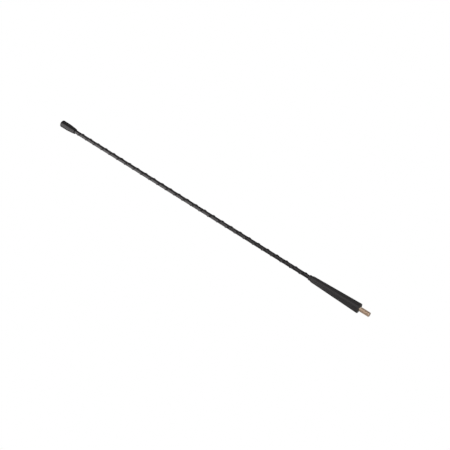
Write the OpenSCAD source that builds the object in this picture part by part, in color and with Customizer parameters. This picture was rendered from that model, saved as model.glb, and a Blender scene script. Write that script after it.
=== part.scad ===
// Car mast aerial: a flexible wound mast that screws into a roof or wing base by its threaded stud.
// Millimetres. The mast stands along +Z, and z = 0 is the seat face that lands on the aerial base.

/* [Mast] */
// Length from the seat face to the tip of the cap
mast_len = 400; // [250:5:600]

/* [Threaded stud] */
// Outside diameter of the stud's thread
stud_d = 5; // [4:0.1:5.9]
// How far the stud stands out of the seat face
stud_len = 11.5; // [8:0.1:16]
// Diameter of the relief neck between the thread and the seat face
neck_d = 4.4; // [3.4:0.1:4.6]
// Length of the relief neck outside the seat face
neck_len = 1.1; // [0.6:0.1:2]
// Lead-in chamfer at the stud's free end
stud_chamfer = 0.5; // [0.2:0.1:1]
// Chamfer where the thread meets the relief neck
neck_chamfer = 0.3; // [0.1:0.1:0.5]

/* [Coupling body] */
// Diameter of the coupling's body inside the ferrule
body_d = 6.2; // [5:0.1:6.8]
// Length of the coupling's body
body_len = 20; // [16:1:26]
// Metal left below the socket that holds the core
socket_floor = 6; // [4:0.5:8]
// Width of each retention groove
groove_w = 1.6; // [0.8:0.1:2.2]
// Depth of each retention groove
groove_depth = 0.45; // [0.2:0.05:0.6]
// Number of retention grooves
groove_count = 3; // [1:1:4]

/* [Base ferrule] */
// Diameter of the ferrule at the seat face
base_d = 10.5; // [9:0.1:13]
// Diameter of the cone at its shoulder
shoulder_d = 6.8; // [6.2:0.1:8]
// Height of the shoulder above the seat face
cone_len = 56; // [44:1:75]
// Diameter of the nose collar
collar_d = 5.7; // [4.9:0.1:5.9]
// Height of the nose collar
collar_len = 3.2; // [2:0.1:7]
// Thickness of the ferrule's end wall below the coupling's body
end_wall = 2.2; // [1.6:0.1:3]
// Rounding of the edge at the seat face
seat_round = 0.7; // [0.3:0.1:1]
// How far the recess in the seat face stands clear of the thread, all round
recess_gap = 0.35; // [0.2:0.05:0.6]
// Depth of the recess in the seat face
recess_depth = 0.6; // [0.3:0.1:1]
// Rounding of the shoulder
shoulder_round = 0.6; // [0.2:0.1:0.6]
// Rounding of the collar's top edge
collar_round = 0.3; // [0.1:0.05:0.35]

/* [Core and winding] */
// Diameter of the glass-fibre core
core_d = 3.2; // [2.6:0.1:3.4]
// Diameter of the wound wire
wire_d = 0.5; // [0.3:0.05:0.5]
// Rise of the winding in one turn
pitch = 11.7; // [9:0.1:16]
// Turn of the winding about the mast, in degrees
phase = 150; // [0:5:355]
// Length of core between the top turn of wire and the core's end
wire_stop = 1.5; // [1:0.5:5]

/* [Sheath] */
// Wall of the shrunk sheath
sheath_wall = 0.5; // [0.3:0.05:0.55]

/* [Tip cap] */
// Diameter of the cap's barrel
cap_d = 8; // [7:0.05:9]
// Length of the cap
cap_len = 20.6; // [17:0.1:30]
// Diameter of the cap's neck at the lower end of its taper
cap_neck_d = 6; // [5.8:0.05:6.6]
// Height of the rounded lip at the cap's mouth
cap_lip_len = 0.3; // [0.2:0.1:2]
// Length of the taper from the neck to the barrel
cap_taper_len = 12; // [6:0.5:14]
// How far the lip turns in at the mouth
cap_lip_in = 0.1; // [0.1:0.05:0.5]
// Rounding of the edge at the tip
tip_round = 0.9; // [0.3:0.1:2]
// Thickness of the cap's end above the core
cap_end_wall = 7.5; // [3:0.5:9]

/* [Fits] */
// Radial clearance between pieces that are moulded or pressed together
fit_gap = 0.03; // [0.01:0.01:0.05]
// Radial clearance of the cap's socket over the winding's ridge
cap_gap = 0.04; // [0.04:0.02:0.12]

/* [Smoothness] */
// Columns of facets round the sheath and the wire
columns = 14; // [12:1:20]
// Straight pieces in each rounded corner
corner_steps = 5; // [3:1:8]
// Straight pieces along the cap's taper
taper_steps = 8; // [4:1:12]

/* [Hidden] */
$fn = 48;

// How far a cutting shape runs past the face that it cuts
past = 1;

core_r = core_d / 2;
wire_r = wire_d / 2;

// The coupling's body and socket
body_lo = end_wall;
body_hi = body_lo + body_len;
socket_lo = body_lo + socket_floor;

// The ferrule's nose, where the sheath starts
nose_hi = cone_len + collar_len;

// The cap's mouth, and its socket's floor, where sheath and core end
cap_lo = mast_len - cap_len;
rod_hi = mast_len - cap_end_wall;

// Facets cut inside a true circle by this factor, so faceted bores are made that much wider
facet_cut = cos(180 / columns);

// The wire lies on the core, and its section along the mast is stretched by the winding's slope
wire_path_r = (core_r + fit_gap) / facet_cut + wire_r;
wire_half_rise = wire_r / cos(atan(pitch / (2 * PI * wire_path_r)));
wire_lo = body_hi + wire_half_rise + fit_gap;
wire_hi = rod_hi - wire_stop;
wire_sides = 5;

// The sheath is stretched over core and wire like a tent, here as [angle from the ridge, radius]
sheath_r = core_r + sheath_wall;
ridge_r = core_r + wire_d + sheath_wall;
tent_angle = acos((core_r - wire_r) / (core_r + wire_r));
tent_x = core_r + wire_r + (wire_r + sheath_wall) * cos(tent_angle);
tent_y = (wire_r + sheath_wall) * sin(tent_angle);
brow_angle = atan2(tent_y, tent_x);
brow_r = norm([tent_x, tent_y]);
outer_tent = [
    [-tent_angle, sheath_r],
    [-brow_angle, brow_r],
    [0, ridge_r],
    [brow_angle, brow_r],
    [tent_angle, sheath_r]
];
bore_r = (core_r + fit_gap) / facet_cut;
bore_ridge_r = wire_path_r + wire_r + 2 * fit_gap;
inner_tent = [
    [-tent_angle, bore_r],
    [0, bore_ridge_r],
    [tent_angle, bore_r]
];

// Bore of the ferrule, wide enough for the wound wire, and socket of the cap, wide enough for the ridge
ferrule_bore_r = wire_path_r + wire_r + fit_gap;
cap_socket_r = ridge_r + cap_gap;

// A quarter turn of rounding about a centre, from one angle to another, as [radius, height] points
function corner(centre, size, from, to) = [
    for (i = [0 : corner_steps])
        let (a = from + (to - from) * i / corner_steps)
        [centre[0] + size[0] * cos(a), centre[1] + size[1] * sin(a)]
];

// A rise from 0 to 1 that is steepest at the start and levels off
function swell(t) = 1 - pow(1 - t, 1.5);

// Outline of the coupling's body inside the ferrule, grown by a clearance
function body_outline(grow) = concat(
    [[0, body_lo - grow], [body_d / 2 + grow, body_lo - grow]],
    [
        for (i = [1 : groove_count])
            let (mid = body_lo + body_len * i / (groove_count + 1), half = groove_w / 2 - grow)
            each [
                [body_d / 2 + grow, mid - half],
                [body_d / 2 - groove_depth + grow, mid - half],
                [body_d / 2 - groove_depth + grow, mid + half],
                [body_d / 2 + grow, mid + half]
            ]
    ],
    [[body_d / 2 + grow, body_hi], [0, body_hi]]
);

// Outline of the stud from its free end up through the ferrule's end wall
function stud_outline() = [
    [0, -stud_len],
    [stud_d / 2 - stud_chamfer, -stud_len],
    [stud_d / 2, stud_chamfer - stud_len],
    [stud_d / 2, -neck_len - neck_chamfer],
    [neck_d / 2, -neck_len],
    [neck_d / 2, body_lo + neck_chamfer],
    [0, body_lo + neck_chamfer]
];

module coupling() {
    color([0.72, 0.56, 0.42])
    difference() {
        union() {
            rotate_extrude() polygon(stud_outline());
            rotate_extrude() polygon(body_outline(0));
        }
        translate([0, 0, socket_lo])
            cylinder(r = core_r + fit_gap, h = body_hi - socket_lo + past);
    }
}

// Outer outline of the ferrule: rounded seat edge, long cone, rounded shoulder, collar
function ferrule_outline() = let (
    lean = atan((base_d - shoulder_d) / 2 / cone_len),
    seat_x = base_d / 2 - seat_round,
    shoulder_x = shoulder_d / 2 - shoulder_round,
    collar_x = collar_d / 2 - collar_round
) concat(
    [[0, 0]],
    corner([seat_x, seat_round], [seat_round, seat_round], -90, lean),
    corner([shoulder_x, cone_len - shoulder_round], [shoulder_round, shoulder_round], lean, 90),
    [[collar_d / 2, cone_len]],
    corner([collar_x, nose_hi - collar_round], [collar_round, collar_round], 0, 90),
    [[0, nose_hi]]
);

module ferrule() {
    color([0.14, 0.14, 0.15])
    difference() {
        rotate_extrude() polygon(ferrule_outline());
        rotate_extrude() polygon(body_outline(fit_gap));
        translate([0, 0, -past])
            cylinder(d = neck_d + 2 * fit_gap, h = end_wall + past);
        translate([0, 0, -past])
            cylinder(d = stud_d + 2 * recess_gap, h = recess_depth + past);
        translate([0, 0, body_hi - fit_gap])
            cylinder(r = ferrule_bore_r, h = nose_hi - body_hi + past);
    }
}

module core() {
    color([0.82, 0.8, 0.68])
    translate([0, 0, socket_lo])
        cylinder(r = core_r, h = rod_hi - socket_lo);
}

// Stations along the wire, in columns above the nose: its lower end, then every whole column
wire_stations = let (
    from = (wire_lo - nose_hi) / pitch * columns,
    to = floor((wire_hi - nose_hi) / pitch * columns)
) concat([from], [for (s = [floor(from) + 1 : to]) s]);

// Ring of points round the wire at one station of its left-handed helix
function wire_ring(station) = let (turn = phase - 360 * station / columns) [
    for (k = [0 : wire_sides - 1])
        let (
            a = 180 + 360 * k / wire_sides,
            r = wire_path_r + wire_r * cos(a),
            z = nose_hi + pitch * station / columns + wire_half_rise * sin(a)
        )
        [r * cos(turn), r * sin(turn), z]
];

module wire() {
    steps = len(wire_stations) - 1;
    last = steps * wire_sides;
    walls = [
        for (s = [0 : steps - 1], k = [0 : wire_sides - 1])
            let (
                next = (k + 1) % wire_sides,
                a = s * wire_sides + k,
                b = s * wire_sides + next,
                c = b + wire_sides,
                d = a + wire_sides
            )
            each [[a, c, b], [a, d, c]]
    ];
    ends = [
        [for (k = [0 : wire_sides - 1]) k],
        [for (k = [wire_sides - 1 : -1 : 0]) last + k]
    ];
    color([0.78, 0.44, 0.26])
    polyhedron(
        points = [for (s = wire_stations) each wire_ring(s)],
        faces = concat(walls, ends),
        convexity = 10
    );
}

// Height of row i of a tent outline in column j, before the ends are cut
function row_z(tent, j, i) = let (n = len(tent))
    nose_hi + pitch * (j / columns + floor(i / n) - 2 + tent[i % n][0] / 360);

function row_r(tent, i) = tent[i % len(tent)][1];

// The last row at or below a height in column j
function row_below(tent, j, z, rows) =
    len([for (i = [0 : rows - 1]) if (row_z(tent, j, i) <= z) 1]) - 1;

// Radius of the skin at a height between row i and the next
function skin_r(tent, j, i, z) = let (
    low = row_z(tent, j, i),
    high = row_z(tent, j, i + 1),
    share = (z - low) / (high - low)
) row_r(tent, i) * (1 - share) + row_r(tent, i + 1) * share;

// Points of one column of a skin, cut flat at both ends
function column_points(tent, j, low, high, first, last) = let (turn = phase - 360 * j / columns) [
    for (i = [first : last + 1])
        let (
            z = i == first ? low : i == last + 1 ? high : row_z(tent, j, i),
            r = i == first ? skin_r(tent, j, first, low)
                : i == last + 1 ? skin_r(tent, j, last, high)
                : row_r(tent, i)
        )
        [r * cos(turn), r * sin(turn), z]
];

function sum_to(counts, n) = n == 0 ? 0 : counts[n - 1] + sum_to(counts, n - 1);

// A wound skin as [points, rows per column, index of each column's first point, its first row, its last row]
function skin(tent, low, high) = let (
    rows = len(tent) * (ceil((high - low) / pitch) + 5),
    firsts = [for (j = [0 : columns - 1]) row_below(tent, j, low, rows)],
    lasts = [for (j = [0 : columns - 1]) row_below(tent, j, high, rows)],
    counts = [for (j = [0 : columns - 1]) lasts[j] - firsts[j] + 2],
    starts = [for (j = [0 : columns - 1]) sum_to(counts, j)],
    points = [
        for (j = [0 : columns - 1])
            each column_points(tent, j, low, high, firsts[j], lasts[j])
    ]
) [points, rows, starts, firsts, lasts];

// Index of a row's point, where column number `columns` is the first column one turn further up
function spot(s, tent, j, i) = let (
    wrap = j == columns,
    jj = wrap ? 0 : j,
    ii = wrap ? i + len(tent) : i
) s[2][jj] + min(max(ii, s[3][jj]), s[4][jj] + 1) - s[3][jj];

// Triangles between each pair of neighbouring columns, without those that the cut ends flatten
function skin_faces(s, tent) = [
    for (j = [0 : columns - 1], i = [0 : s[1] - 2])
        let (
            a = spot(s, tent, j, i),
            b = spot(s, tent, j + 1, i),
            c = spot(s, tent, j + 1, i + 1),
            d = spot(s, tent, j, i + 1)
        )
        each concat(b == c ? [] : [[a, b, c]], a == d ? [] : [[a, c, d]])
];

function shifted(faces, by) = [for (f = faces) [f[0] + by, f[1] + by, f[2] + by]];

function flipped(faces) = [for (f = faces) [f[0], f[2], f[1]]];

// Flat ring between two skins at one end, as pairs of triangles
function ring_faces(outer, inner, by, top) = [
    for (j = [0 : columns - 1])
        let (
            next = (j + 1) % columns,
            row = function(s, k) top ? s[2][k] + s[4][k] + 1 - s[3][k] : s[2][k],
            a = row(outer, j),
            b = row(outer, next),
            c = row(inner, next) + by,
            d = row(inner, j) + by
        )
        each [[a, b, c], [a, c, d]]
];

module sheath() {
    outer = skin(outer_tent, nose_hi, rod_hi);
    inner = skin(inner_tent, nose_hi, rod_hi);
    by = len(outer[0]);
    faces = concat(
        skin_faces(outer, outer_tent),
        flipped(shifted(skin_faces(inner, inner_tent), by)),
        flipped(ring_faces(outer, inner, by, false)),
        ring_faces(outer, inner, by, true)
    );
    color([0.12, 0.12, 0.13])
    polyhedron(points = concat(outer[0], inner[0]), faces = faces, convexity = 10);
}

// Outer outline of the cap: rounded lip, swelling taper, barrel, rounded tip
function cap_outline() = let (
    neck_r = cap_neck_d / 2,
    barrel_r = cap_d / 2,
    taper_lo = cap_lo + cap_lip_len
) concat(
    [[0, cap_lo]],
    corner([neck_r - cap_lip_in, taper_lo], [cap_lip_in, cap_lip_len], -90, 0),
    [
        for (i = [1 : taper_steps])
            let (t = i / taper_steps)
            [neck_r + (barrel_r - neck_r) * swell(t), taper_lo + cap_taper_len * t]
    ],
    corner([barrel_r - tip_round, mast_len - tip_round], [tip_round, tip_round], 0, 90),
    [[0, mast_len]]
);

module tip_cap() {
    color([0.16, 0.16, 0.17])
    difference() {
        rotate_extrude() polygon(cap_outline());
        translate([0, 0, cap_lo - past])
            cylinder(r = cap_socket_r, h = rod_hi - cap_lo + past);
    }
}

coupling();
ferrule();
core();
wire();
sheath();
tip_cap();
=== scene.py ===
# %% [markdown]
# A car mast aerial is a thin whip that screws into a base on the roof or the wing.
# This one has a glass-fibre core with copper wire wound round it, a black sheath
# shrunk over both so that the wire shows as a winding ridge, a tapered black ferrule,
# a plain cap on the tip and a threaded bronze stud.
#
# The lesson dresses a measured model of it. The measured solids come in first as a
# frame that never moves, and each piece that we make is built in its place, in metres,
# with the origin in the middle of the ferrule's seat face and the mast along +Z.

# %% Load the measured frame
import math

import bmesh
import bpy
from mathutils import Matrix, Vector


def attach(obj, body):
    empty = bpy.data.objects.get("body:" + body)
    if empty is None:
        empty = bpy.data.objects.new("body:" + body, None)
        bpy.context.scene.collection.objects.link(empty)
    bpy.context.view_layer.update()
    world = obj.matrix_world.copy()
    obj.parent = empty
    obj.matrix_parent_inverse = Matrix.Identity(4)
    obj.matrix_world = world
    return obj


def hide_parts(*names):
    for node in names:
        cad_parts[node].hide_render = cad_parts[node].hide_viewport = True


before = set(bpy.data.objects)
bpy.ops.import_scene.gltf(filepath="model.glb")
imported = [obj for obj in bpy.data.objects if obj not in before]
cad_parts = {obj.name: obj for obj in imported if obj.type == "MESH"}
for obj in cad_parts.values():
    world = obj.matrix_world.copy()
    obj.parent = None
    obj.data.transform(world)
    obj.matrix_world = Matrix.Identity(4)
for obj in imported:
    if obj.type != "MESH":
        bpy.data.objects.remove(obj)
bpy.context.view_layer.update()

scene = bpy.context.scene
MM = 0.001

# %% [markdown]
# The photograph looks at the mast from a little below and across, with the tip away
# from us at the upper left. A long lens keeps the mast nearly as thick at its far end.
# We could turn the object to fit the picture, but the frame has to stay upright, so the
# camera does the turning: it sits in front of the mast, tips up, and rolls on its side.

# %% Set the camera
LENS = 70.0
LOOK_AT = Vector((-0.15, 0, 165.2)) * MM
CAMERA_REACH = 0.908
TIP_UP = math.radians(21.74)
ROLL = math.radians(-58.06)

camera = bpy.data.objects.new("camera", bpy.data.cameras.new("camera"))
scene.collection.objects.link(camera)
camera.data.lens = LENS
camera.data.sensor_width = 36
facing = Matrix.Rotation(math.pi / 2 + TIP_UP, 4, "X")
backward = facing @ Vector((0, 0, 1))
camera.matrix_world = (
    Matrix.Translation(LOOK_AT + backward * CAMERA_REACH)
    @ facing
    @ Matrix.Rotation(ROLL, 4, "Z")
)
scene.camera = camera
print("camera at, mm:", [round(x / MM, 1) for x in camera.matrix_world.translation])

# %% [markdown]
# A studio sweep is white all round, and everything glossy shows it. The world does both
# jobs: rays that leave the camera, a mirror or a clear piece see plain white, and
# the light that falls on the object comes at its own, lower, strength.

# %% Make the white surroundings
SKY_LIGHT = 0.35


def seen_by_eye(net):
    """A socket that is 1 for what the camera, a mirror or a clear piece sees, else 0."""
    path = net.nodes.new("ShaderNodeLightPath")
    total = path.outputs["Is Camera Ray"]
    for ray in ("Is Glossy Ray", "Is Transmission Ray"):
        either = net.nodes.new("ShaderNodeMath")
        either.operation = "MAXIMUM"
        net.links.new(total, either.inputs[0])
        net.links.new(path.outputs[ray], either.inputs[1])
        total = either.outputs[0]
    return total


world = bpy.data.worlds.new("studio")
scene.world = world
world.use_nodes = True
net = world.node_tree
net.nodes.clear()
choose = net.nodes.new("ShaderNodeMixShader")
for place, strength in ((1, SKY_LIGHT), (2, 1)):
    sky = net.nodes.new("ShaderNodeBackground")
    sky.inputs["Color"].default_value = (1, 1, 1, 1)
    sky.inputs["Strength"].default_value = strength
    net.links.new(sky.outputs[0], choose.inputs[place])
net.links.new(seen_by_eye(net), choose.inputs["Fac"])
out = net.nodes.new("ShaderNodeOutputWorld")
net.links.new(choose.outputs[0], out.inputs["Surface"])
scene.view_settings.view_transform = "Standard"

# %% [markdown]
# Black plastic shows its form only by what it mirrors. The photograph has one soft box
# on the mast's left, nearest to the tip, so that the left half of the cap and of the rod
# is pale and the light fades towards the stud. A second, weaker one stands low in front,
# a little to the right, and draws the soft pale line down the middle of the ferrule.

# %% Hang the soft boxes


def soft_box(name, at, towards, size, watts):
    """A rectangular lamp at one point, turned to face another, both in metres."""
    lamp = bpy.data.lights.new(name, "AREA")
    lamp.shape = "RECTANGLE"
    lamp.size, lamp.size_y = size
    lamp.energy = watts
    box = bpy.data.objects.new(name, lamp)
    scene.collection.objects.link(box)
    turn = (Vector(towards) - Vector(at)).to_track_quat("-Z", "Y")
    box.matrix_world = Matrix.Translation(at) @ turn.to_matrix().to_4x4()
    box.visible_camera = False
    return box


soft_box("box_left", (-0.325, -0.314, 0.6), (0, 0, 0.34), (1.0, 0.44), 9.8)
soft_box("box_front", (0.32, -1.07, 0.3), (0, 0, 0.08), (0.6, 0.8), 5.6)

# %% [markdown]
# The four pieces that we make are turned or wound about the mast's own axis. So the same
# few helpers serve them all: one draws a chain of edges as a profile, one spins it, one
# cuts the result flat, and one finds the rim that a cut leaves open.

# %% Draw and spin profiles
SMALLEST = 0.001


def chain(bm, points, closed=False, turn=0.0):
    """Edges through (radius, height) points, in the half plane at an angle about Z."""
    c, s = math.cos(turn), math.sin(turn)
    dots = [bm.verts.new((r * c, r * s, z)) for r, z in points]
    ends = dots[1:] + dots[:1] if closed else dots[1:]
    return dots + [bm.edges.new(pair) for pair in zip(dots, ends)]


def spin(bm, profile, steps, rise=0.0):
    """Sweeps a profile once round Z; with a rise it becomes a screw of that pitch."""
    bmesh.ops.spin(
        bm,
        geom=profile,
        cent=(0, 0, 0),
        axis=(0, 0, 1),
        dvec=(0, 0, rise / steps),
        angle=2 * math.pi,
        steps=steps,
        use_merge=rise == 0,
    )
    bmesh.ops.remove_doubles(bm, verts=bm.verts, dist=SMALLEST)


def cut_flat(bm, height, keep):
    """Cuts everything off beyond a height; keep is +1 for what is above, -1 below."""
    bmesh.ops.bisect_plane(
        bm,
        geom=bm.verts[:] + bm.edges[:] + bm.faces[:],
        dist=SMALLEST / 10,
        plane_co=(0, 0, height),
        plane_no=(0, 0, -keep),
        clear_outer=True,
    )


def rim(bm, height):
    """The open edges that lie at a height."""
    return [
        e
        for e in bm.edges
        if e.is_boundary and all(abs(v.co.z - height) < SMALLEST * 2 for v in e.verts)
    ]


# %% [markdown]
# Each mesh is drawn in millimetres and brought to metres only when it is finished,
# because merge distances are easier to judge in those numbers. The last helper does
# that. It also closes the seams, turns the faces outward and marks the sharp edges, then
# hides the measured solid that the piece stands for. It could leave the shading to a
# modifier, but marked edges stay the same in every file that the piece is saved to.

# %% Make a mesh a piece of the frame
CREASE = math.radians(32)


def finish_piece(name, bm, stands_for, finish):
    """Closes, shades and places a mesh, and hides the CAD node it stands for."""
    bmesh.ops.remove_doubles(bm, verts=bm.verts, dist=SMALLEST)
    bmesh.ops.dissolve_degenerate(bm, edges=bm.edges, dist=SMALLEST / 10)
    bmesh.ops.recalc_face_normals(bm, faces=bm.faces)
    for face in bm.faces:
        face.smooth = True
    for edge in bm.edges:
        edge.smooth = edge.is_manifold and edge.calc_face_angle() < CREASE
    gaps = sum(not e.is_manifold for e in bm.edges)
    volume = bm.calc_volume()
    bmesh.ops.scale(bm, vec=(MM, MM, MM), verts=bm.verts)
    mesh = bpy.data.meshes.new(name)
    bm.to_mesh(mesh)
    bm.free()
    mesh.materials.append(finish)
    piece = bpy.data.objects.new(name, mesh)
    scene.collection.objects.link(piece)
    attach(piece, "root")
    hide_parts(stands_for)
    triangles = sum(len(p.vertices) - 2 for p in mesh.polygons)
    print(f"{name}: {triangles} triangles, {volume:.1f} mm3, {gaps} open edges")
    return piece


# %% [markdown]
# Each finish is a node network, because a black part that is one flat colour looks like
# a hole in the picture. A few small helpers keep the networks short: one adds a node
# and wires it up, and the others are the kinds of detail that the finishes share.

# %% Start a finish
WHOLE_PIECE = (1, 1, 1)
RIM_FROM, RIM_TO, RIM_ROUGH = 0.1, 0.7, 0.95


class Finish:
    """A material under way: its shader, and helpers that add detail to it."""

    def __init__(self, name, **fixed):
        self.material = bpy.data.materials.new(name)
        self.material.use_nodes = True
        self.net = self.material.node_tree
        self.shader = self.net.nodes["Principled BSDF"]
        for socket, value in fixed.items():
            self.shader.inputs[socket.replace("_", " ")].default_value = value
        self.place = self.add("TexCoord").outputs["Object"]

    def add(self, kind, settings=None, **sockets):
        """Adds a node, sets its properties, and fills or links its sockets."""
        node = self.net.nodes.new("ShaderNode" + kind)
        for name, value in (settings or {}).items():
            setattr(node, name, value)
        for name, value in sockets.items():
            key = int(name[1:]) if name[1:].isdigit() else name.replace("_", " ")
            if isinstance(value, bpy.types.NodeSocket):
                self.net.links.new(value, node.inputs[key])
            else:
                node.inputs[key].default_value = value
        return node

    def math(self, operation, a, b=0.0):
        return self.add("Math", {"operation": operation}, _0=a, _1=b).outputs[0]

    def noise(self, size_mm, detail=3.0, stretch=WHOLE_PIECE):
        """Cloudy noise whose clouds are about so many millimetres wide."""
        spot = self.add("Mapping", Vector=self.place, Scale=stretch).outputs[0]
        cloud = self.add("TexNoise", Vector=spot, Scale=1 / (size_mm * MM), Detail=detail)
        return cloud.outputs["Fac"]

    def ramp(self, value, low, high, to_low=0.0, to_high=1.0):
        """Carries a value from one range into another, smoothly and clamped."""
        node = self.add("MapRange", {"interpolation_type": "SMOOTHSTEP"}, Value=value)
        node.inputs["From Min"].default_value = low
        node.inputs["From Max"].default_value = high
        node.inputs["To Min"].default_value = to_low
        node.inputs["To Max"].default_value = to_high
        return node.outputs["Result"]

    def blend(self, amount, first, second):
        """Mixes two colours, each a triple or a socket."""
        node = self.add("Mix", {"data_type": "RGBA"})
        for key, value in ((0, amount), (6, first), (7, second)):
            if isinstance(value, bpy.types.NodeSocket):
                self.net.links.new(value, node.inputs[key])
            else:
                node.inputs[key].default_value = (*value, 1) if key else value
        return node.outputs[2]

    def bump(self, height, depth_mm, after=None):
        """Raises the surface by a height from 0 to 1, at most so many millimetres."""
        node = self.add("Bump", Height=height, Strength=1.0, Distance=depth_mm * MM)
        if after is not None:
            self.net.links.new(after, node.inputs["Normal"])
        return node.outputs["Normal"]

    def height_mm(self):
        """Height above the seat face, in millimetres."""
        parts = self.add("SeparateXYZ", Vector=self.place)
        return self.math("DIVIDE", parts.outputs["Z"], MM)

    def radius_mm(self):
        """Distance from the mast's axis, in millimetres."""
        parts = self.add("SeparateXYZ", Vector=self.place)
        x2 = self.math("POWER", parts.outputs["X"], 2)
        y2 = self.math("POWER", parts.outputs["Y"], 2)
        return self.math("DIVIDE", self.math("SQRT", self.math("ADD", x2, y2)), MM)

    def wire(self, socket, value):
        self.net.links.new(value, self.shader.inputs[socket])

    def soft_rim(self, roughness):
        """Spreads the sheen where the surface turns away from the eye."""
        turned = self.add("LayerWeight", Blend=0.5).outputs["Facing"]
        spread = self.ramp(turned, RIM_FROM, RIM_TO, 0, RIM_ROUGH)
        return self.math("MAXIMUM", roughness, spread)


# %% [markdown]
# The floor is a pale sheet far below the mast, as if the aerial stood on a stand whose
# foot is out of sight. It catches a faint shadow and stays out of the photograph's view.
# A real sweep of paper curves up behind the object so that no horizon shows. Ours fades
# into the white of the surroundings instead, and only for the eye: the light that the
# floor throws back on the object is that of plain paper.

# %% Lay the floor
FLOOR_DROP = -0.75
FLOOR_SIDE = 30
PAPER_LIFT = 0.2
FADE_OUT_MM = 3500

floor_mesh = bpy.data.meshes.new("floor")
bm = bmesh.new()
bmesh.ops.create_grid(bm, x_segments=4, y_segments=4, size=FLOOR_SIDE)
bmesh.ops.translate(bm, vec=(0, 0, FLOOR_DROP), verts=bm.verts)
bm.to_mesh(floor_mesh)
bm.free()
floor = bpy.data.objects.new("floor", floor_mesh)
scene.collection.objects.link(floor)

f = Finish(
    "paper_floor",
    Base_Color=(0.86, 0.86, 0.86, 1),
    Roughness=0.9,
    Emission_Color=(1, 1, 1, 1),
)
seen = seen_by_eye(f.net)
f.wire("Emission Strength", f.math("MULTIPLY", seen, PAPER_LIFT))
faded = f.math("MULTIPLY", seen, f.ramp(f.radius_mm(), 0, FADE_OUT_MM))
white = f.add("Emission", Color=(1, 1, 1, 1), Strength=1.0)
sweep = f.add("MixShader", Fac=faded, _1=f.shader.outputs[0], _2=white.outputs[0])
f.net.links.new(sweep.outputs[0], f.net.nodes["Material Output"].inputs["Surface"])
floor_mesh.materials.append(f.material)

# %% [markdown]
# The ferrule is moulded in a hard rubbery plastic. Up close it has a fine stipple from
# the tool's surface, clouds of slightly different black where the melt flowed along it,
# faint scuffs from being screwed in by hand, and a little dust in the stipple. A surface
# so fine and soft has no bright rim, so the sheen spreads out towards the outline. The
# seat face looks down into shade, and it is painted a paler grey there as painted light.
# The cap is the same plastic from a polished tool, so it shares the network.

# %% Finish of the moulded black pieces
DUST = (0.075, 0.072, 0.068)
WARM_SHEEN = (1.0, 0.95, 0.965, 1.0)
# The seat face's paler grey below is painted light that lifts the shade on the down-facing
# seat.
SEAT_PAINTED_LIGHT = (0.075, 0.072, 0.07)
SEAT_LIGHT_FULL, SEAT_LIGHT_END = 0.1, 0.6


def moulded(name, dark, pale, roughness, level, stipple_mm):
    """Satin moulded plastic, from two blacks and a size of stipple."""
    f = Finish(name, Specular_IOR_Level=level, Specular_Tint=WARM_SHEEN, Metallic=0.0)
    flow = f.noise(6, 3, (1, 1, 0.22))
    body = f.blend(f.ramp(flow, 0.3, 0.7), dark, pale)
    # Painted light: the seat face and the half millimetre above it are painted paler to lift
    # their shade.
    body = f.blend(f.ramp(f.height_mm(), SEAT_LIGHT_FULL, SEAT_LIGHT_END, 1, 0), body, SEAT_PAINTED_LIGHT)
    scuff = f.ramp(f.noise(0.9, 4, (1, 1, 0.12)), 0.60, 0.72)
    dust = f.ramp(f.noise(0.22, 1), 0.73, 0.8)
    f.wire("Base Color", f.blend(f.math("MULTIPLY", dust, 0.5), body, DUST))
    dull = f.ramp(flow, 0.2, 0.8, roughness - 0.05, roughness + 0.06)
    f.wire("Roughness", f.soft_rim(f.math("SUBTRACT", dull, f.math("MULTIPLY", scuff, 0.08))))
    grain = f.bump(f.noise(stipple_mm, 2), 0.012)
    f.wire("Normal", f.bump(scuff, 0.004, grain))
    return f.material


ferrule_black = moulded(
    "ferrule_black", (0.0122, 0.0112, 0.0116), (0.0162, 0.015, 0.0154), 0.4, 0.125, 0.28
)
cap_black = moulded(
    "cap_black", (0.0034, 0.003, 0.0032), (0.0056, 0.005, 0.0052), 0.14, 0.117, 0.22
)

# %% [markdown]
# The sheath is a shrunk plastic tube. Drawing the tube leaves fine lines along it,
# shrinking puckers it very slightly, and the crest of the ridge, which hands and car
# washes rub, is a touch smoother and paler than the hollows, where dust stays.

# %% Finish of the shrunk sheath
CREST_FROM, CREST_TO = 2.3, 2.55
TUBE_DARK = (0.0047, 0.0042, 0.0044)
TUBE_PALE = (0.0078, 0.0071, 0.0073)
TUBE_RUBBED = (0.0105, 0.0096, 0.0099)

f = Finish("sheath_black", Specular_IOR_Level=0.16, Specular_Tint=WARM_SHEEN, Metallic=0.0)
drawn = f.noise(0.35, 2, (1, 1, 0.04))
pucker = f.noise(1.6, 2, (1, 1, 0.6))
crest = f.ramp(f.radius_mm(), CREST_FROM, CREST_TO)
tube = f.blend(f.ramp(f.noise(9, 3), 0.3, 0.7), TUBE_DARK, TUBE_PALE)
tube = f.blend(f.math("MULTIPLY", crest, 0.6), tube, TUBE_RUBBED)
dust = f.ramp(f.noise(0.18, 1), 0.72, 0.8)
f.wire("Base Color", f.blend(f.math("MULTIPLY", dust, 0.35), tube, DUST))
dull = f.ramp(pucker, 0.25, 0.75, 0.2, 0.27)
f.wire("Roughness", f.soft_rim(f.math("SUBTRACT", dull, f.math("MULTIPLY", crest, 0.05))))
f.wire("Normal", f.bump(pucker, 0.02, f.bump(drawn, 0.008)))
sheath_black = f.material

# %% [markdown]
# The stud is turned from a copper alloy and left bare. The tool leaves rings round it.
# The crests of the thread are bright, and the roots are browner, where oil and tarnish
# stay. The neck sits in the ferrule's shade, and it is painted bright metal as painted
# light. The metal's colour is in its base colour.

# %% Finish of the stud
ROOT_R, CREST_R = 2.14, 2.47
NECK_LIGHT_FROM, NECK_LIGHT_FULL = -1.6, -1.3

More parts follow.
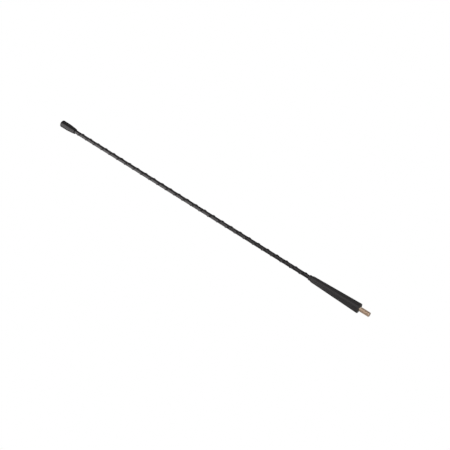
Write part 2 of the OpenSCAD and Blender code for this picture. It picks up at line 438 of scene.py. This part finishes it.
f = Finish("stud_bronze", Metallic=1.0)
rings = f.noise(0.06, 2, (0.002, 0.002, 1))
patch = f.noise(1.8, 3)
# Painted light: the neck takes the bright metal colour, lifting the shade of the ferrule on it.
neck = f.ramp(f.height_mm(), NECK_LIGHT_FROM, NECK_LIGHT_FULL)
height = f.math("MAXIMUM", f.ramp(f.radius_mm(), ROOT_R, CREST_R), neck)
metal = f.blend(f.ramp(patch, 0.35, 0.68), (0.4, 0.308, 0.237), (0.45, 0.341, 0.256))
tarnish = f.blend(f.ramp(patch, 0.3, 0.6), (0.275, 0.205, 0.156), (0.33, 0.247, 0.187))
f.wire("Base Color", f.blend(height, tarnish, metal))
worn = f.ramp(height, 0, 1, 0.52, 0.4)
f.wire("Roughness", f.math("ADD", worn, f.math("MULTIPLY", f.ramp(patch, 0.4, 0.7), 0.08)))
f.wire("Normal", f.bump(rings, 0.004))
stud_bronze = f.material

# %% [markdown]
# Core and wire are inside the sheath, and they show only if it is cut away. They keep
# their measured solids, and get the look that they would have: resin with fibres drawn
# along it, and enamelled copper.

# %% Finish the core and the wire
f = Finish("fibre_resin", Specular_IOR_Level=0.5, Metallic=0.0)
fibres = f.noise(0.12, 3, (1, 1, 0.01))
f.wire("Base Color", f.blend(f.ramp(fibres, 0.3, 0.7), (0.5, 0.46, 0.3), (0.68, 0.65, 0.5)))
f.wire("Roughness", f.ramp(fibres, 0.3, 0.7, 0.32, 0.5))
f.wire("Normal", f.bump(fibres, 0.01))
fibre_resin = f.material

f = Finish("enamelled_copper", Metallic=1.0)
enamel = f.noise(1.2, 3)
copper = f.blend(f.ramp(enamel, 0.3, 0.7), (0.5, 0.18, 0.08), (0.66, 0.27, 0.12))
f.wire("Base Color", copper)
f.wire("Roughness", f.ramp(enamel, 0.3, 0.7, 0.22, 0.36))
f.wire("Normal", f.bump(f.noise(0.1, 2), 0.003))
enamelled_copper = f.material

for node, look in (("core", fibre_resin), ("wire", enamelled_copper)):
    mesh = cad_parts[node].data
    mesh.materials.clear()
    mesh.materials.append(look)

# %% [markdown]
# The ferrule is a long cone that ends in a rounded shoulder and a short collar. Inside,
# it holds the stud's grooved body, and above that the bore lets the wound core through.
# One closed profile spun round the axis makes the whole of it, inside and outside.

# %% Turn the ferrule
BASE_R, SHOULDER_R, COLLAR_R = 5.25, 3.4, 2.85
CONE_LEN, COLLAR_LEN = 56.0, 3.2
NOSE = CONE_LEN + COLLAR_LEN
SEAT_ROUND, SHOULDER_ROUND, COLLAR_ROUND = 0.7, 0.6, 0.3
END_WALL, BODY_LEN = 2.2, 20.0
BODY_TOP = END_WALL + BODY_LEN
BODY_R, GROOVE_HALF, GROOVE_DEPTH = 3.1, 0.8, 0.45
GROOVE_COUNT = 3
GROOVE_STEP = BODY_LEN / (GROOVE_COUNT + 1)
GROOVE_MIDS = [END_WALL + GROOVE_STEP * (i + 1) for i in range(GROOVE_COUNT)]
STUD_R, NECK_R = 2.5, 2.2
RECESS_GAP, RECESS_DEPTH = 0.35, 0.6
RECESS_R = STUD_R + RECESS_GAP
FIT = 0.03
WIRE_BORE_R = 2.2
ROUND_STEPS = 96


def rounded(centre, size, start, end, steps=8):
    """Points of a rounding about a centre, from one angle to another in degrees."""
    turns = [math.radians(start + (end - start) * i / steps) for i in range(steps + 1)]
    return [(centre[0] + size * math.cos(a), centre[1] + size * math.sin(a)) for a in turns]


def grooved(grow):
    """The side of the stud's body from bottom to top, with its retention grooves."""
    points = [(BODY_R + grow, END_WALL - grow)]
    for mid in GROOVE_MIDS:
        low, high = mid - GROOVE_HALF + grow, mid + GROOVE_HALF - grow
        floor_r = BODY_R - GROOVE_DEPTH + grow
        points += [(BODY_R + grow, low), (floor_r, low), (floor_r, high), (BODY_R + grow, high)]
    return points + [(BODY_R + grow, BODY_TOP)]


lean = math.degrees(math.atan((BASE_R - SHOULDER_R) / CONE_LEN))
shoulder_mid = (SHOULDER_R - SHOULDER_ROUND, CONE_LEN - SHOULDER_ROUND)
outside = (
    rounded((BASE_R - SEAT_ROUND, SEAT_ROUND), SEAT_ROUND, -90, lean)
    + rounded(shoulder_mid, SHOULDER_ROUND, lean, 90)
    + [(COLLAR_R, CONE_LEN)]
    + rounded((COLLAR_R - COLLAR_ROUND, NOSE - COLLAR_ROUND), COLLAR_ROUND, 0, 90)
)
inside = [
    (WIRE_BORE_R, NOSE),
    (WIRE_BORE_R, BODY_TOP),
    *reversed(grooved(FIT)),
    (NECK_R + FIT, END_WALL - FIT),
    (NECK_R + FIT, RECESS_DEPTH),
    (RECESS_R, RECESS_DEPTH),
    (RECESS_R, 0),
]
bm = bmesh.new()
spin(bm, chain(bm, outside + inside, closed=True), ROUND_STEPS)
finish_piece("ferrule_moulding", bm, "ferrule", ferrule_black)

# %% [markdown]
# The cap is a small club-shaped moulding, pushed over the end of the rod. Its neck is
# narrow, it swells into a short barrel, and the end is flat with a rounded edge. Outside
# and socket are two profiles that share the mouth's edge, so the spun skins join there.

# %% Turn the tip cap
MAST_LEN, CAP_LEN = 400.0, 20.6
CAP_MOUTH = MAST_LEN - CAP_LEN
CAP_R, CAP_NECK_R = 4.0, 3.0
LIP_LEN, LIP_IN = 0.3, 0.1
TAPER_LEN, TIP_ROUND = 12.0, 0.9
CAP_END_WALL = 7.5
ROD_TOP = MAST_LEN - CAP_END_WALL
SOCKET_R = 2.64
TAPER_STEPS = 24
END_RINGS = (1.9, 0.8, 0)
SOCKET_RINGS = (0, 1.2, SOCKET_R)


def swell(t):
    """A rise from 0 to 1 that is steepest at the start and levels off."""
    return 1 - (1 - t) ** 1.5


taper_from = CAP_MOUTH + LIP_LEN
lip = [
    (CAP_NECK_R - LIP_IN + LIP_IN * math.cos(a), taper_from + LIP_LEN * math.sin(a))
    for a in (math.radians(-90 + 15 * i) for i in range(7))
]
taper = [
    (CAP_NECK_R + (CAP_R - CAP_NECK_R) * swell(t), taper_from + TAPER_LEN * t)
    for t in (i / TAPER_STEPS for i in range(1, TAPER_STEPS + 1))
]
tip = rounded((CAP_R - TIP_ROUND, MAST_LEN - TIP_ROUND), TIP_ROUND, 0, 90)
end_face = [(r, MAST_LEN) for r in END_RINGS]
socket = [(r, ROD_TOP) for r in SOCKET_RINGS] + [(SOCKET_R, CAP_MOUTH)]
bm = bmesh.new()
spin(bm, chain(bm, [socket[-1]] + lip + taper + tip + end_face), ROUND_STEPS)
spin(bm, chain(bm, socket), ROUND_STEPS)
finish_piece("tip_cap_moulding", bm, "tip_cap", cap_black)

# %% [markdown]
# The sheath hugs the core and climbs over the wire like a tent over its pole. Seen end
# on, its outside is the rod's circle, two straight walls, and an arc over the wire. At a
# fixed side of the mast the same shape comes round once in each turn of the winding. So
# a profile of such turns, spun once with one turn's rise, closes on itself as a screw.

# %% Wind the sheath
PITCH, PHASE = 11.7, math.radians(150)
CORE_R, WIRE_R, WALL = 1.6, 0.25, 0.5
ROD_R = CORE_R + WALL
TENT = math.acos((CORE_R - WIRE_R) / (CORE_R + WIRE_R))
BORE_R, BORE_SIDE_R, BORE_RIDGE_R = 1.65, 1.92, 2.22
WINDINGS = 48


def tent_outline():
    """(turn from the ridge, radius) pairs over one turn, from -180 to 180 degrees."""
    over = WIRE_R + WALL
    arc = [
        (CORE_R + WIRE_R + over * math.cos(TENT * i / 4), over * math.sin(TENT * i / 4))
        for i in range(5)
    ]
    foot = (ROD_R * math.cos(TENT), ROD_R * math.sin(TENT))
    wall = [
        tuple(a + (b - a) * share for a, b in zip(arc[-1], foot))
        for share in (1 / 3, 2 / 3, 1)
    ]
    half = [(math.atan2(y, x), math.hypot(x, y)) for x, y in arc + wall]
    half += [(TENT + (math.pi - TENT) * i / 6, ROD_R) for i in range(1, 6)]
    return [(-a, r) for a, r in reversed(half[1:])] + half + [(math.pi, ROD_R)]


def wind(bm, outline, first, last):
    """Spins an outline's turns into a left-handed screw along the rod."""
    points = [
        (r, NOSE + PITCH * (k + a / (2 * math.pi)))
        for k in range(first, last)
        for a, r in outline
    ]
    spin(bm, chain(bm, points, turn=PHASE), WINDINGS, -PITCH)


bore_outline = [
    (-TENT, BORE_R),
    (-TENT / 2, BORE_SIDE_R),
    (0, BORE_RIDGE_R),
    (TENT / 2, BORE_SIDE_R),
]
bore_outline += [(TENT + (2 * math.pi - 2 * TENT) * i / 6, BORE_R) for i in range(6)]
turns_up = math.ceil((ROD_TOP - NOSE) / PITCH) + 3
bm = bmesh.new()
wind(bm, tent_outline(), -2, turns_up)
wind(bm, bore_outline, -2, turns_up)
cut_flat(bm, NOSE, 1)
cut_flat(bm, ROD_TOP, -1)
for height in (NOSE, ROD_TOP):
    bmesh.ops.bridge_loops(bm, edges=rim(bm, height))
finish_piece("shrunk_sheath", bm, "sheath", sheath_black)

# %% [markdown]
# The stud and its body are one turned piece. The thread is a screw again, this time
# right-handed and fine. It is cut flat at both ends, then turned down to a lead-in at the
# free end and to the neck at the other. A bump map could hint at the turns, but then the
# stud's outline would stay straight.

# %% Cut the thread
THREAD_PITCH, THREAD_ROOT_R = 0.8, 2.14
STUD_LEN, NECK_LEN = 11.5, 1.1
LEAD_IN, RUN_OUT = 0.5, 0.3
CREST_HALF, ROOT_HALF = 0.1, 0.06
THREAD_STEPS = 64

bm = bmesh.new()
tooth = [
    (STUD_R, -CREST_HALF),
    (STUD_R, CREST_HALF),
    (THREAD_ROOT_R, THREAD_PITCH / 2 - ROOT_HALF),
    (THREAD_ROOT_R, THREAD_PITCH / 2 + ROOT_HALF),
]
teeth = math.ceil(STUD_LEN / THREAD_PITCH) + 3
points = [(r, z - THREAD_PITCH * k) for k in range(teeth, -3, -1) for r, z in tooth]
spin(bm, chain(bm, points), THREAD_STEPS, THREAD_PITCH)
cut_flat(bm, -STUD_LEN, 1)
cut_flat(bm, -NECK_LEN, -1)
cut_flat_at = (LEAD_IN - STUD_LEN, -NECK_LEN - RUN_OUT)
for height in cut_flat_at:
    bmesh.ops.bisect_plane(
        bm,
        geom=bm.verts[:] + bm.edges[:] + bm.faces[:],
        dist=SMALLEST / 10,
        plane_co=(0, 0, height),
        plane_no=(0, 0, 1),
    )


def set_radius(vert, radius):
    """Moves a vertex straight in or out to a distance from the axis."""
    scale = radius / math.hypot(vert.co.x, vert.co.y)
    vert.co.x *= scale
    vert.co.y *= scale


for v in bm.verts:
    into_lead = cut_flat_at[0] - v.co.z
    into_run = (v.co.z - cut_flat_at[1]) * (STUD_R - NECK_R) / RUN_OUT
    set_radius(v, min(math.hypot(v.co.x, v.co.y), STUD_R - max(into_lead, into_run, 0)))
print("thread:", len(bm.faces), "faces,", len(rim(bm, -NECK_LEN)), "edges at its rim")

# %% [markdown]
# From the thread's upper rim the mesh is drawn on, ring by ring, through the neck and the
# grooved body to the socket for the core. A separate body pushed against the thread would
# look the same from outside, but drawn on, the piece stays one closed skin.

# %% Draw on the neck, the body and the socket
SOCKET_FLOOR = 6.0
STUD_END_RINGS = (1.2, 0.5)
SOCKET_MID_R = 0.5
CORE_SOCKET_R, CORE_SOCKET_FLOOR = CORE_R + FIT, END_WALL + SOCKET_FLOOR


def draw_on(bm, edges, rings):
    """Extends an open rim through (radius, height) rings, and returns the last rim."""
    for radius, height in rings:
        made = bmesh.ops.extrude_edge_only(bm, edges=edges)["geom"]
        edges = [g for g in made if isinstance(g, bmesh.types.BMEdge)]
        edges = [e for e in edges if e.is_boundary]
        for v in {v for e in edges for v in e.verts}:
            set_radius(v, radius)
            v.co.z = height
    return edges


def close_rim(bm, edges):
    """Closes a round rim with a fan that meets on the axis."""
    made = bmesh.ops.extrude_edge_only(bm, edges=edges)["geom"]
    dots = [g for g in made if isinstance(g, bmesh.types.BMVert)]
    bmesh.ops.pointmerge(bm, verts=dots, merge_co=(0, 0, dots[0].co.z))


end_rings = [(r, -STUD_LEN) for r in STUD_END_RINGS]
close_rim(bm, draw_on(bm, rim(bm, -STUD_LEN), end_rings))
body_rings = [(NECK_R, 0.0), (NECK_R, END_WALL), *grooved(0)]
socket_rings = [
    (CORE_SOCKET_R, BODY_TOP),
    (CORE_SOCKET_R, CORE_SOCKET_FLOOR),
    (SOCKET_MID_R, CORE_SOCKET_FLOOR),
]
close_rim(bm, draw_on(bm, rim(bm, -NECK_LEN), body_rings + socket_rings))
finish_piece("threaded_coupling", bm, "coupling", stud_bronze)
